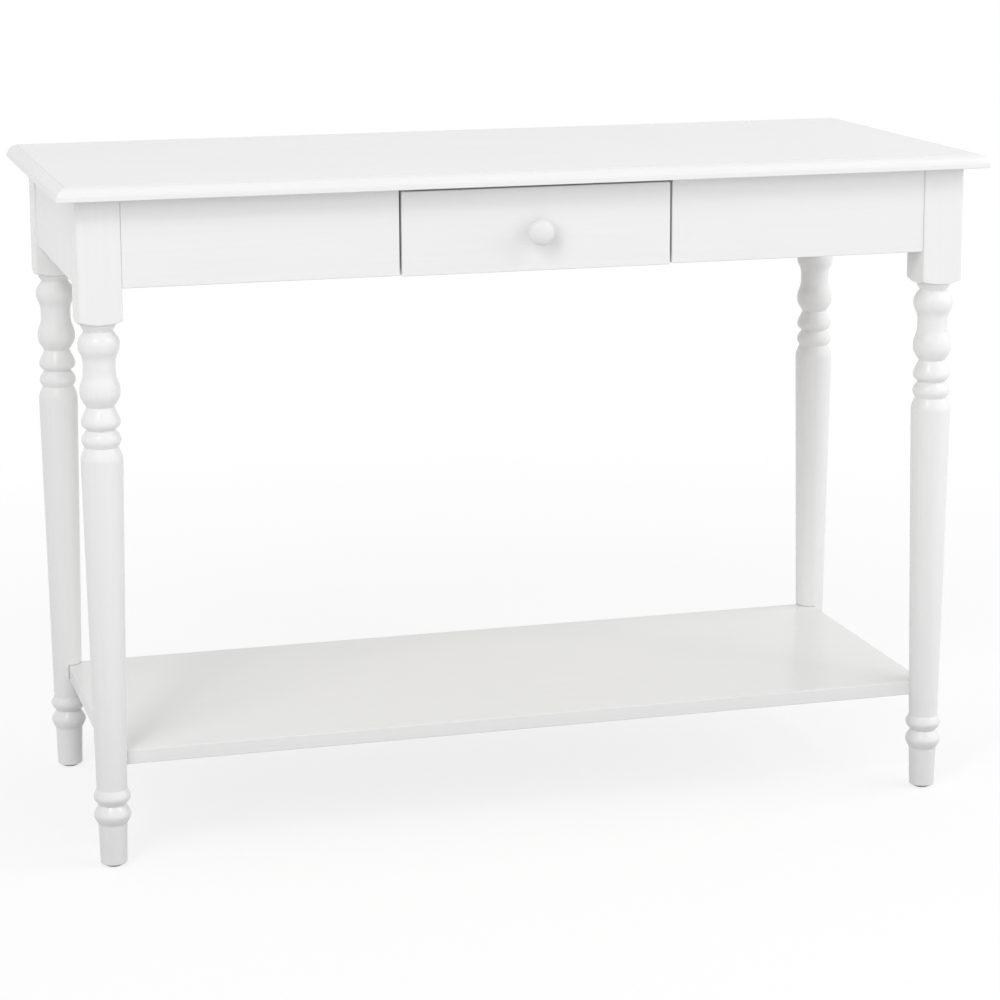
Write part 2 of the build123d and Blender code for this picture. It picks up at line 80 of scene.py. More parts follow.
class Slot(Enum):
    """Material slots of the record."""

    LACQUER = "white_lacquer"
    WOOD = "plain_wood"
    PANEL = "thin_panel"
    STEEL = "zinc_steel"
    CAST = "cast_zinc"
    PLASTIC = "dark_plastic"


class Grain(Enum):
    """Direction of a board's grain."""

    ALONG_X = 0
    ALONG_Y = 1
    ALONG_Z = 2


class Side(Enum):
    """Sides of the table, as the frame's nodes write them."""

    LEFT = "left"
    RIGHT = "right"


class Corner(Enum):
    """Corners of the table, as the frame's nodes write them."""

    FRONT_LEFT = "front_left"
    FRONT_RIGHT = "front_right"
    BACK_LEFT = "back_left"
    BACK_RIGHT = "back_right"


class Quarter(Enum):
    """Quarters of a circle, anticlockwise."""

    UPPER_RIGHT = 0
    UPPER_LEFT = 1
    LOWER_LEFT = 2
    LOWER_RIGHT = 3


class TreeSketch:
    """Adds nodes to a node tree and joins their sockets."""

    def __init__(self, tree: bpy.types.NodeTree) -> None:
        """Starts on an empty tree."""
        self.tree = tree
        tree.nodes.clear()

    def node(self, kind: str, inputs: Inputs | None = None, **settings: object) -> bpy.types.Node:
        """Adds one node.

        Args:
            kind: Blender's name for the node type.
            inputs: Socket names or numbers, each with a value or with the socket that feeds it.
            settings: Properties of the node itself.

        Returns:
            The new node.
        """
        made = self.tree.nodes.new(kind)
        for name, value in settings.items():
            setattr(made, name, value)
        for name, value in (inputs or {}).items():
            if isinstance(value, Socket):
                self.tree.links.new(value, made.inputs[name])
            else:
                made.inputs[name].default_value = value
        return made

    def math(self, operation: str, *values: float | Socket) -> Socket:
        """Result of a math node on numbers or sockets."""
        inputs = dict(enumerate(values))
        return self.node("ShaderNodeMath", inputs, operation=operation).outputs[0]


@dataclass(frozen=True)
class Pattern:
    """Noise in a finish.

    It has so many patches to the metre across the grain and along it, or an even number where none is
    given along the grain. Its height, in metres, and its strength say how far it raises the surface.
    """

    across: float
    along: float | None
    detail: float
    height: float = 0.0
    strength: float = 0.0


class SurfaceSketch(TreeSketch):
    """Node tree of a material, with the patterns that the finishes share."""

    def __init__(self, name: str) -> None:
        """Makes the material and reads its place on the object.

        Args:
            name: Name of the material.
        """
        self.material = bpy.data.materials.new(name)
        self.material.use_nodes = True
        super().__init__(self.material.node_tree)
        self.place = self.node("ShaderNodeTexCoord").outputs["Object"]

    def noise(self, pattern: Pattern, grain: Grain = Grain.ALONG_X, output: str = "Fac") -> Socket:
        """Noise of a pattern.

        Args:
            pattern: The pattern.
            grain: Direction that it may be drawn out along.
            output: Output of the noise that is read.

        Returns:
            The noise.
        """
        inputs = {"Vector": self.place, "Scale": pattern.across, "Detail": pattern.detail}
        if pattern.along is not None:
            scale = [pattern.along if axis is grain else pattern.across for axis in Grain]
            drawn = self.node("ShaderNodeMapping", {"Vector": self.place, "Scale": scale})
            inputs.update({"Vector": drawn.outputs[0], "Scale": 1.0})
        return self.node("ShaderNodeTexNoise", inputs).outputs[output]

    def blend(self, first: Socket, second: Socket, share: float) -> Socket:
        """Sum of two patterns, by the share of the first."""
        rest = self.math("MULTIPLY", second, 1.0 - share)
        return self.math("MULTIPLY_ADD", first, share, rest)

    def between(self, factor: Socket, low: Colour, high: Colour) -> Socket:
        """Colour between two, by a factor."""
        inputs = {MIX_FACTOR: factor, MIX_LOW: low, MIX_HIGH: high}
        return self.node("ShaderNodeMix", inputs, data_type="RGBA").outputs[MIX_RESULT]

    def spread(
        self,
        factor: Socket,
        low: float = 0.0,
        high: float = 1.0,
        start: float = 0.3,
        end: float = 0.7,
    ) -> Socket:
        """Spreads a pattern between two numbers.

        Args:
            factor: The pattern.
            low: Number at the pattern's start.
            high: Number at the pattern's end.
            start: Value of the pattern that gives the low number.
            end: Value of the pattern that gives the high number.

        Returns:
            The spread pattern.
        """
        inputs = {"Value": factor, "From Min": start, "From Max": end, "To Min": low, "To Max": high}
        return self.node("ShaderNodeMapRange", inputs).outputs[0]

    def bump(
        self,
        noise: Socket,
        pattern: Pattern,
        relief: float = 1.0,
        normal: Socket | None = None,
    ) -> Socket:
        """Raises the surface by a pattern.

        Args:
            noise: Noise of the pattern.
            pattern: The pattern.
            relief: Share of its strength that shows.
            normal: Normal that is raised already.

        Returns:
            The raised normal.
        """
        inputs = {"Height": noise, "Distance": pattern.height, "Strength": pattern.strength * relief}
        if normal:
            inputs["Normal"] = normal
        return self.node("ShaderNodeBump", inputs).outputs[0]

    def close(self, **inputs: object) -> bpy.types.Material:
        """Feeds the shader and the output.

        Args:
            inputs: The shader's sockets, with underscores for spaces.

        Returns:
            The material.
        """
        named = {name.replace("_", " "): value for name, value in inputs.items()}
        shader = self.node("ShaderNodeBsdfPrincipled", named)
        self.node("ShaderNodeOutputMaterial", {"Surface": shader.outputs[0]})
        return self.material


def grey(value: float) -> Colour:
    """Neutral colour of one brightness."""
    return (value, value, value, 1.0)


@dataclass(frozen=True)
class Lacquer:
    """White semi-gloss lacquer with the grain just showing through."""

    grain: Grain
    name: str = "white_lacquer"
    light: Colour = (0.856, 0.856, 0.855, 1.0)
    dark: Colour = (0.834, 0.834, 0.833, 1.0)
    smooth: float = 0.21
    rough: float = 0.26
    relief: float = 1.0
    refraction: float = 1.48
    streak: Pattern = Pattern(across=260.0, along=5.0, detail=4.0, height=0.00003, strength=0.25)
    cloud: Pattern = Pattern(across=6.0, along=None, detail=3.0)
    peel: Pattern = Pattern(across=620.0, along=None, detail=1.0, height=0.00002, strength=0.2)
    streak_share: float = 0.7
    slot: ClassVar[Slot] = Slot.LACQUER

    def material(self) -> bpy.types.Material:
        """Builds the material.

        Returns:
            The material.
        """
        sketch = SurfaceSketch(f"{self.name}_{self.grain.name.lower()}")
        streak = sketch.noise(self.streak, self.grain)
        cloud = sketch.noise(self.cloud)
        peel = sketch.noise(self.peel)
        figure = sketch.spread(sketch.blend(streak, cloud, self.streak_share))
        normal = sketch.bump(peel, self.peel, self.relief)
        return sketch.close(
            Base_Color=sketch.between(figure, self.dark, self.light),
            Roughness=sketch.spread(cloud, self.smooth, self.rough),
            IOR=self.refraction,
            Normal=sketch.bump(streak, self.streak, self.relief, normal),
        )


@dataclass(frozen=True)
class Timber:
    """Pale sanded softwood."""

    grain: Grain
    early: Colour = (0.80, 0.70, 0.56, 1.0)
    late: Colour = (0.70, 0.56, 0.41, 1.0)
    smooth: float = 0.52
    rough: float = 0.68
    bend: Pattern = Pattern(across=14.0, along=0.9, detail=2.0)
    pores: Pattern = Pattern(across=1100.0, along=16.0, detail=3.0, height=0.00012, strength=0.4)
    ring_scale: float = 9.0
    ring_distortion: float = 2.5
    ring_detail: float = 2.0
    ring_share: float = 0.5
    figure_span: Point = (0.2, 0.85)
    slot: ClassVar[Slot] = Slot.WOOD

    def material(self) -> bpy.types.Material:
        """Builds the material.

        Returns:
            The material.
        """
        sketch = SurfaceSketch(f"pale_wood_{self.grain.name.lower()}")
        inputs = {
            "Vector": sketch.noise(self.bend, self.grain, "Color"),
            "Scale": self.ring_scale,
            "Distortion": self.ring_distortion,
            "Detail": self.ring_detail,
        }
        rings = sketch.node("ShaderNodeTexWave", inputs, wave_type="BANDS").outputs["Fac"]
        pores = sketch.noise(self.pores, self.grain)
        start, end = self.figure_span
        figure = sketch.spread(sketch.blend(rings, pores, self.ring_share), start=start, end=end)
        return sketch.close(
            Base_Color=sketch.between(figure, self.early, self.late),
            Roughness=sketch.spread(pores, self.smooth, self.rough),
            Normal=sketch.bump(pores, self.pores),
        )


@dataclass(frozen=True)
class Plywood:
    """Thin plywood of the drawer bottom."""

    face: Colour = (0.82, 0.73, 0.60, 1.0)
    fleck: Colour = (0.71, 0.59, 0.45, 1.0)
    smooth: float = 0.5
    rough: float = 0.64
    figure: Pattern = Pattern(across=24.0, along=2.2, detail=4.0)
    fibre: Pattern = Pattern(across=800.0, along=22.0, detail=2.0, height=0.0001, strength=0.35)
    figure_share: float = 0.6
    slot: ClassVar[Slot] = Slot.PANEL

    def material(self) -> bpy.types.Material:
        """Builds the material.

        Returns:
            The material.
        """
        sketch = SurfaceSketch("thin_plywood")
        figure = sketch.noise(self.figure, Grain.ALONG_Y)
        fibre = sketch.noise(self.fibre, Grain.ALONG_Y)
        mixed = sketch.spread(sketch.blend(figure, fibre, self.figure_share))
        return sketch.close(
            Base_Color=sketch.between(mixed, self.face, self.fleck),
            Roughness=sketch.spread(fibre, self.smooth, self.rough),
            Normal=sketch.bump(fibre, self.fibre),
        )


@dataclass(frozen=True)
class Metal:
    """Zinc on steel or die-cast zinc."""

    name: str
    slot: Slot
    bright: Colour
    dull: Colour
    smooth: float
    rough: float
    bloom: Pattern = Pattern(across=90.0, along=None, detail=4.0)
    scratch: Pattern = Pattern(across=1600.0, along=None, detail=2.0, height=0.00002, strength=0.3)

    def material(self) -> bpy.types.Material:
        """Builds the material.

        Returns:
            The material.
        """
        sketch = SurfaceSketch(self.name)
        bloom = sketch.noise(self.bloom)
        return sketch.close(
            Base_Color=sketch.between(sketch.spread(bloom), self.dull, self.bright),
            Metallic=1.0,
            Roughness=sketch.spread(bloom, self.smooth, self.rough),
            Normal=sketch.bump(sketch.noise(self.scratch), self.scratch),
        )


@dataclass(frozen=True)
class Nylon:
    """Dark moulded plastic of the glides."""

    dark: Colour = grey(0.13)
    light: Colour = grey(0.221)
    smooth: float = 0.42
    rough: float = 0.6
    mottle: Pattern = Pattern(across=420.0, along=None, detail=3.0, height=0.00004, strength=0.4)
    slot: ClassVar[Slot] = Slot.PLASTIC

    def material(self) -> bpy.types.Material:
        """Builds the material.

        Returns:
            The material.
        """
        sketch = SurfaceSketch("dark_nylon")
        mottle = sketch.noise(self.mottle)
        return sketch.close(
            Base_Color=sketch.between(sketch.spread(mottle), self.dark, self.light),
            Roughness=sketch.spread(mottle, self.smooth, self.rough),
            Normal=sketch.bump(mottle, self.mottle),
        )


Finish = Lacquer | Timber | Plywood | Metal | Nylon
# The knob's lacquer is a darker copy of the white lacquer: painted shade that tones down how brightly the
# knob's upturned front is lit, so that its highlights show.
KNOB_LACQUER = Lacquer(
    grain=Grain.ALONG_Y,
    name="knob_lacquer",
    light=(0.808, 0.808, 0.807, 1.0),
    dark=(0.792, 0.792, 0.791, 1.0),
    smooth=0.19,
    rough=0.23,
    relief=0.12,
)
ZINC_STEEL = Metal(
    name="zinc_on_steel",
    slot=Slot.STEEL,
    bright=(0.72, 0.73, 0.74, 1.0),
    dull=(0.56, 0.57, 0.59, 1.0),
    smooth=0.29,
    rough=0.42,
)
CAST_ZINC = Metal(
    name="die_cast_zinc",
    slot=Slot.CAST,
    bright=(0.58, 0.59, 0.60, 1.0),
    dull=(0.44, 0.45, 0.47, 1.0),
    smooth=0.42,
    rough=0.6,
)
NYLON = Nylon()


@lru_cache(maxsize=None)
def material_of(finish: Finish) -> bpy.types.Material:
    """Material of a finish, made once."""
    return finish.material()


def add_object(name: str, mesh: bpy.types.Mesh) -> bpy.types.Object:
    """Adds an object at the origin.

    Args:
        name: Name of the object.
        mesh: Mesh that it shows.

    Returns:
        The object.
    """
    piece = bpy.data.objects.new(name, mesh)
    bpy.context.scene.collection.objects.link(piece)
    return piece


def remove_object(helper: bpy.types.Object) -> None:
    """Deletes a helper object and its mesh.

    Args:
        helper: The object.
    """
    mesh = helper.data
    bpy.data.objects.remove(helper)
    bpy.data.meshes.remove(mesh)


def apply_modifiers(piece: bpy.types.Object) -> None:
    """Turns the modified shape into the piece's own plain mesh.

    Args:
        piece: Piece with modifiers.
    """
    graph = bpy.context.evaluated_depsgraph_get()
    shape = piece.evaluated_get(graph)
    made = bpy.data.meshes.new_from_object(shape, preserve_all_data_layers=True, depsgraph=graph)
    old = piece.data
    name = old.name
    piece.modifiers.clear()
    piece.data = made
    bpy.data.meshes.remove(old)
    made.name = name


def welded_shape(node: str) -> bmesh.types.BMesh:
    """Copy of a frame node's shape, with its loose triangles joined.

    Args:
        node: Name of the node.

    Returns:
        The copy.
    """
    bm = bmesh.new()
    bm.from_mesh(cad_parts[node].data)
    bmesh.ops.remove_doubles(bm, verts=bm.verts[:], dist=WELD)
    return bm


def mesh_from(name: str, bm: bmesh.types.BMesh, sharp_degrees: float = SHARP_DEGREES) -> bpy.types.Mesh:
    """Closes a shape into a mesh with outward faces, smooth but for its sharp edges.

    Args:
        name: Name of the mesh.
        bm: The shape, which is freed.
        sharp_degrees: Bend from which an edge is sharp.

    Returns:
        The mesh.
    """
    bmesh.ops.recalc_face_normals(bm, faces=bm.faces[:])
    limit = math.radians(sharp_degrees)
    for face in bm.faces:
        face.smooth = True
    for edge in bm.edges:
        edge.smooth = edge.calc_face_angle(math.pi) < limit
    mesh = bpy.data.meshes.new(name)
    bm.to_mesh(mesh)
    bm.free()
    return mesh


def mark_sharp(piece: bpy.types.Object, sharp_degrees: float) -> None:
    """Marks the sharp edges of a piece again after a cut.

    Args:
        piece: The piece.
        sharp_degrees: Bend from which an edge is sharp.
    """
    bm = bmesh.new()
    bm.from_mesh(piece.data)
    old = piece.data
    piece.data = mesh_from(f"{piece.name}_mesh", bm, sharp_degrees)
    bpy.data.meshes.remove(old)


def weight_normals(piece: bpy.types.Object) -> None:
    """Keeps large faces flat beside their eased edges.

    Args:
        piece: The piece.
    """
    modifier = piece.modifiers.new("weighted", "WEIGHTED_NORMAL")
    modifier.keep_sharp = True
    apply_modifiers(piece)


def declare(piece: bpy.types.Object, body: Body, finish: Finish, node: str) -> None:
    """Dresses a piece, hangs it on the body that it rides on and hides the frame node that it stands for.

    Args:
        piece: Finished piece at the origin.
        body: Body that it rides on.
        finish: Its surface.
        node: Frame node that it replaces.
    """
    piece.data.materials.clear()
    piece.data.materials.append(material_of(finish))
    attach(piece, body.value)
    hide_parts(node)
    LOG.info("%s rides on %s, %d faces", piece.name, body.value, len(piece.data.polygons))


def dress_node(name: str, finish: Finish) -> None:
    """Gives a frame node, whose shape is right, its surface.

    Args:
        name: Name of the node.
        finish: Its surface.
    """
    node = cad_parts[name]
    if not node.material_slots:
        node.data.materials.append(None)
    for place in node.material_slots:
        place.material = material_of(finish)
    LOG.info("%s keeps its shape", name)


def ease_board(node: str, kind: str, ease: float, body: Body, finish: Finish) -> None:
    """Replaces a board by a copy whose long arrises are rounded, as sanding and paint leave them.

    Args:
        node: Frame node of the board.
        kind: First word of the copy's name.
        ease: Radius of the rounding.
        body: Body that the board rides on.
        finish: Its surface.
    """
    bm = welded_shape(node)
    flat = math.radians(FLAT_DEGREES)
    bmesh.ops.dissolve_limit(bm, angle_limit=flat, verts=bm.verts[:], edges=bm.edges[:])
    square = math.radians(SHARP_DEGREES)
    arrises = []
    for edge in bm.edges:
        outer = edge.is_convex and edge.calc_face_angle(0.0) > square
        if outer and edge.calc_length() > LONGEST_HOLE_EDGE:
            arrises.append(edge)
    bmesh.ops.bevel(
        bm,
        geom=arrises,
        offset=ease,
        segments=EASE_STEPS,
        profile=EASE_PROFILE,
        affect="EDGES",
        clamp_overlap=True,
    )
    name = f"{kind}_{node}"
    piece = add_object(name, mesh_from(name, bm))
    weight_normals(piece)
    declare(piece, body, finish, node)


def flank_handles(crest: Point, groove: Point, shares: Flank) -> tuple[Point, Point]:
    """Handles of a flank's curve.

    Args:
        crest: Where the flank stands upright.
        groove: Where it ends.
        shares: Shares of its height and width: how far it runs upright from its crest, and how
            wide and how high it still is when it nears its groove.

    Returns:
        The handles near the crest and near the groove.
    """
    (r0, z0), (r1, z1) = crest, groove
    upright, wide, high = shares
    return (r0, z0 + (z1 - z0) * upright), (r1 + (r0 - r1) * wide, z1 + (z0 - z1) * high)


class Outline:
    """Half outline of a turned shape, from one end to the other, as radii and heights."""

    def __init__(self, start: Point, steps: int = 10, fullness: float = 0.6) -> None:
        """Starts at a point.

        Args:
            start: The point.
            steps: Steps to a curve.
            fullness: Share of its way that a convex flank runs level or upright.
        """
        self.points = [start]
        self.steps = steps
        self.fullness = fullness

    @property
    def end(self) -> Point:
        """Point that the outline has come to."""
        return self.points[-1]

    def line(self, *points: Point) -> None:
        """Goes straight to each point."""
        self.points += points

    def curve(self, *controls: Point) -> None:
        """Follows a cubic curve.

        Args:
            controls: The curve's two handles and its end.
        """
        start = self.end
        for step in range(1, self.steps + 1):
            t = step / self.steps
            weights = ((1 - t) ** 3, 3 * t * (1 - t) ** 2, 3 * t * t * (1 - t), t ** 3)
            pairs = list(zip(weights, (start, *controls)))
            self.points.append(tuple(sum(w * p[axis] for w, p in pairs) for axis in (0, 1)))

    def crest(self, end: Point) -> None:
        """Convex flank, left level and met upright."""
        (r0, z0), (r1, z1) = self.end, end
        self.curve((r0 + (r1 - r0) * self.fullness, z0), (r1, z1 + (z0 - z1) * self.fullness), end)

    def fall(self, end: Point) -> None:
        """Convex flank, left upright and met level."""
        (r0, z0), (r1, z1) = self.end, end
        self.curve((r0, z0 + (z1 - z0) * self.fullness), (r1 + (r0 - r1) * self.fullness, z1), end)

    def flank(self, end: Point, shares: Flank) -> None:
        """Leaves a crest upright and straightens towards a groove."""
        self.curve(*flank_handles(self.end, end, shares), end)

    def rise(self, end: Point, shares: Flank) -> None:
        """Follows a flank the other way, from its groove to its crest."""
        self.curve(*flank_handles(end, self.end, shares)[::-1], end)

    def wave(self, end: Point) -> None:
        """Flank that runs upright at both ends."""
        middle = (self.end[1] + end[1]) / 2
        self.curve((self.end[0], middle), (end[0], middle), end)


def round_corner(centre: Point, radius: float, quarter: Quarter, steps: int) -> list[Point]:
    """Points of a quarter circle, anticlockwise."""
    angles = [math.radians(QUARTER_TURN * (quarter.value + step / steps)) for step in range(steps + 1)]
    return [(centre[0] + radius * math.cos(a), centre[1] + radius * math.sin(a)) for a in angles]


def join_rings(rings: Sequence[Sequence[Vector]]) -> bmesh.types.BMesh:
    """Skin over closed rings of equal count, with its two ends filled.

    Args:
        rings: Rings of points in order.

    Returns:
        The shape.
    """
    bm = bmesh.new()
    rows = [[bm.verts.new(point) for point in ring] for ring in rings]
    count = len(rows[0])
    for low, high in zip(rows, rows[1:]):
        for index in range(count):
            after = (index + 1) % count
            bm.faces.new((low[index], low[after], high[after], high[index]))
    bm.faces.new(rows[0][::-1])
    bm.faces.new(rows[-1])
    return bm


@dataclass
class MouldedTop:
    """Tabletop with an upright band, a ledge, a round and a small upright on its edge."""

    edge_band: float = 0.0052
    edge_step: float = 0.0009
    edge_run: float = 0.0101
    edge_quirk: float = 0.0007
    swell_power: float = 1.08
    swell_steps: int = 14
    corner_round: float = 0.0016
    corner_steps: int = 4
    lower_ease: float = 0.0009
    lower_steps: int = 3
    fine_ease: float = 0.0004
    fine_steps: int = 2

    def profile(self, low: float, high: float) -> list[Point]:
        """Edge's outline, from the underside up to the top face.

        Args:
            low: Height of the underside.
            high: Height of the top face.

        Returns:
            Insets and heights.
        """
        ease, fine = self.lower_ease, self.fine_ease
        spring = low + self.edge_band
        inset = self.edge_step + self.edge_run
        rise = high - self.edge_quirk - spring
        lower = round_corner((ease, low + ease), ease, Quarter.LOWER_LEFT, self.lower_steps)[::-1]
        band = round_corner((fine, spring - fine), fine, Quarter.UPPER_LEFT, self.fine_steps)[::-1]
        swell = []
        for step in range(self.swell_steps + 1):
            angle = math.radians(QUARTER_TURN * step / self.swell_steps)
            run = self.edge_run * math.cos(angle) ** self.swell_power
            swell.append((inset - run, spring + rise * math.sin(angle) ** self.swell_power))
        centre = (inset + fine, high - fine)
        crown = round_corner(centre, fine, Quarter.UPPER_LEFT, self.fine_steps)[::-1]
        return lower + band + swell + crown

    def ring(self, half: Vector, inset: float, height: float) -> list[Vector]:
        """Closed ring of the top's outline.

        Args:
            half: Half of the top's size.
            inset: How far in the ring lies.
            height: Its height.

        Returns:
            Points of the ring.
        """
        x = half.x - inset - self.corner_round
        y = half.y - inset - self.corner_round
        plan = []
        for centre, quarter in zip(((x, y), (-x, y), (-x, -y), (x, -y)), Quarter):
            plan += round_corner(centre, self.corner_round, quarter, self.corner_steps)
        return [Vector((px, py, height)) for px, py in plan]

    def build(self) -> None:
        low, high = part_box("tabletop")
        half = (high - low) / 2
        rings = [self.ring(half, inset, height) for inset, height in self.profile(low.z, high.z)]
        piece = add_object("moulded_top", mesh_from("moulded_top", join_rings(rings)))
        weight_normals(piece)
        declare(piece, Body.TABLE, Lacquer(Grain.ALONG_X), "tabletop")


@dataclass
class TurnedLeg:
    """Leg with a square block, turned swells and rings, a tapered column, two beads and a foot."""

    corner: Corner
    block_height: float = 0.135
    block_arris: float = 0.0016
    block_ease: float = 0.0005
    shoulder_rise: float = 0.0058
    shoulder_clearance: float = 1.6
    shoulder_steps: int = 24
    turning_allowance: float = 0.0014
    collar_dia: float = 0.0378
    collar_drop: float = 0.002
    neck_dia: float = 0.0308
    neck_drop: float = 0.0055
    upper_swell_dia: float = 0.045
    upper_swell_drop: float = 0.014
    waist_dia: float = 0.0348
    waist_drop: float = 0.021
    waist_length: float = 0.007
    lower_swell_dia: float = 0.0438
    lower_swell_drop: float = 0.024
    swell_groove_dia: float = 0.0298
    swell_groove_drop: float = 0.016
    upper_ring_dia: float = 0.0424
    upper_ring_drop: float = 0.016
    ring_groove_dia: float = 0.0304
    ring_groove_drop: float = 0.0088
    lower_ring_dia: float = 0.0424
    lower_ring_drop: float = 0.0112
    column_groove_dia: float = 0.0364
    column_groove_drop: float = 0.0077
    column_shoulder_drop: float = 0.0143
    column_bottom_dia: float = 0.0334
    upper_bead_height: float = 0.0185
    bead_groove_dia: float = 0.0294
    lower_bead_height: float = 0.022
    bead_dia: float = 0.0406
    foot_height: float = 0.045
    foot_top_dia: float = 0.0316
    foot_bottom_dia: float = 0.0293
    foot_chamfer: float = 0.0015
    shoulder_flank: Flank = (0.12, 0.5, 0.42)
    swell_flank: Flank = (0.45, 0.4, 0.28)
    bell_flank: Flank = (0.25, 0.3, 0.35)
    undercut_flank: Flank = (0.5, 0.6, 0.3)
    column_flank: Flank = (0.35, 0.35, 0.3)
    bead_flank: Flank = (0.3, 0.4, 0.3)
    housing_gap: float = 0.00045
    flat_steps: int = 16
    arris_steps: int = 4
    under_shares: tuple[float, ...] = (0.2, 0.4, 0.6, 0.8, 1.0)
    ease_shares: tuple[float, ...] = (0.35, 0.7, 1.0)
    sharp_degrees: float = 29.0

    @property
    def node(self) -> str:
        """Frame node that the leg stands for."""
        return f"leg_{self.corner.value}"

    def outline(self, foot: float, block_bottom: float, half: float) -> list[Point]:
        """Turned part's outline, from the foot up to the block.

        Args:
            foot: Height of the foot's underside.
            block_bottom: Height of the block's underside.
            half: Half of the block's width.

        Returns:
            Radii and heights.
        """
        top = block_bottom
        collar = top - self.collar_drop
        neck = collar - self.neck_drop
        upper = neck - self.upper_swell_drop
        waist_top = upper - self.waist_drop
        waist_bottom = waist_top - self.waist_length
        lower = waist_bottom - self.lower_swell_drop
        swell_groove = lower - self.swell_groove_drop
        ring = swell_groove - self.upper_ring_drop
        ring_groove = ring - self.ring_groove_drop
        low_ring = ring_groove - self.lower_ring_drop
        groove = low_ring - self.column_groove_drop
        column = groove - self.column_shoulder_drop
        foot_top = foot + self.foot_height
        bead_groove = foot_top + self.lower_bead_height
        column_bottom = bead_groove + self.upper_bead_height
        foot_radius = self.foot_bottom_dia / 2
        turned = Outline((foot_radius - self.foot_chamfer, foot))
        turned.line((foot_radius, foot + self.foot_chamfer), (self.foot_top_dia / 2, foot_top))
        turned.rise((self.bead_dia / 2, (foot_top + bead_groove) / 2), self.bead_flank)
        turned.flank((self.bead_groove_dia / 2, bead_groove), self.bead_flank)
        turned.rise((self.bead_dia / 2, (bead_groove + column_bottom) / 2), self.bead_flank)
        turned.flank((self.column_bottom_dia / 2, column_bottom), self.bead_flank)
        turned.line((half - self.turning_allowance / 2, column))
        turned.flank((self.column_groove_dia / 2, groove), self.column_flank)
        turned.rise((self.lower_ring_dia / 2, low_ring), self.column_flank)
        turned.flank((self.ring_groove_dia / 2, ring_groove), self.swell_flank)
        turned.rise((self.upper_ring_dia / 2, ring), self.undercut_flank)
        turned.flank((self.swell_groove_dia / 2, swell_groove), self.bell_flank)
        turned.rise((self.lower_swell_dia / 2, lower), self.swell_flank)
        turned.wave((self.waist_dia / 2, waist_bottom))
        turned.line((self.waist_dia / 2, waist_top))
        turned.wave((self.upper_swell_dia / 2, upper))
        turned.flank((self.neck_dia / 2, neck), self.swell_flank)
        turned.line((self.collar_dia / 2, collar), (self.collar_dia / 2, top))
        return turned.points

    def square(self, half: float) -> list[Point]:
        """Block's outline in plan, with rounded arrises.

        Args:
            half: Half of the block's width.

        Returns:
            Points once round.
        """
        inner = half - self.block_arris
        flat = [(half, -inner + 2 * inner * step / self.flat_steps) for step in range(self.flat_steps)]
        arris = round_corner((inner, inner), self.block_arris, Quarter.UPPER_RIGHT, self.arris_steps)[:-1]
        points = []
        for quarter in Quarter:
            turn = Matrix.Rotation(math.radians(QUARTER_TURN * quarter.value), 2)
            points += [tuple(turn @ Vector(point)) for point in flat + arris]
        return points

    def shoulder(self, half: float, bottom: float) -> list[Point]:
        """Underside of the block, where the lathe rounds its corners.

        Args:
            half: Half of the block's width.
            bottom: Height of the block's underside.

        Returns:
            Radii and heights, from the collar out to the block's corners.
        """
        rim = Outline((half * math.sqrt(2), bottom + self.shoulder_rise), self.shoulder_steps)
        rim.flank((self.collar_dia / 2, bottom), self.shoulder_flank)
        return rim.points[::-1]

    def rings(self, low: Vector, high: Vector) -> list[list[Vector]]:
        """Rings of the whole leg, from the foot to the top of the block.

        Args:
            low: Lower corner of the leg's box.
            high: Upper corner of the leg's box.

        Returns:
            Rings of points.
        """
        half = (high.x - low.x) / 2
        axis = (low + high) / 2
        bottom = high.z - self.block_height
        clear = bottom + self.shoulder_rise * self.shoulder_clearance
        under_radii, under_heights = zip(*self.shoulder(half, bottom))
        collar, ease = self.collar_dia / 2, self.block_ease
        turned = self.outline(low.z, bottom, half)
        columns = []
        for way in map(Vector, self.square(half)):
            unit, reach = way.normalized(), way.length
            column = list(turned)
            for share in self.under_shares:
                radius = collar + (reach - ease - collar) * share
                column.append((radius, float(np.interp(radius, under_radii, under_heights))))
            edge = Vector((reach, float(np.interp(reach, under_radii, under_heights))))
            start, end = Vector(column[-1]), edge + Vector((0.0, ease))
            for share in self.ease_shares:
                column.append(tuple(start.lerp(edge, share).lerp(edge.lerp(end, share), share)))
            column += [(reach, clear), (reach, high.z)]
            columns.append([Vector((axis.x + unit.x * r, axis.y + unit.y * r, z)) for r, z in column])
        return [list(ring) for ring in zip(*columns)]

    def housing(self) -> bpy.types.Object:
        """Helper in the shape of the shelf, a little larger, that cuts its room in the leg.

        Returns:
            The helper.
        """
        shelf = welded_shape("shelf")
        low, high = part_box("shelf")
        cut = max(vert.co.x for vert in shelf.verts if vert.co.y > high.y - WELD)
        shelf.free()
        grow = self.housing_gap
        x, y = high.x + grow, high.y + grow
        back = high.x - cut + grow
        plan = [(x, back - y), (x, y - back), (x - back, y), (back - x, y)]
        plan += [(-px, -py) for px, py in plan]
        heights = (low.z - grow / 2, high.z + grow)
        rings = [[Vector((px, py, height)) for px, py in plan] for height in heights]
        return add_object("housing_cutter", mesh_from("housing_cutter", join_rings(rings)))

    def build(self) -> None:
        name = f"turned_{self.node}"
        piece = add_object(name, mesh_from(name, join_rings(self.rings(*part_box(self.node)))))
        cutter = self.housing()
        cut = piece.modifiers.new("housing", "BOOLEAN")
        cut.object = cutter
        cut.operation = "DIFFERENCE"
        cut.solver = "EXACT"
        apply_modifiers(piece)
        remove_object(cutter)
        mark_sharp(piece, self.sharp_degrees)
        weight_normals(piece)
        declare(piece, Body.TABLE, Lacquer(Grain.ALONG_Z), self.node)


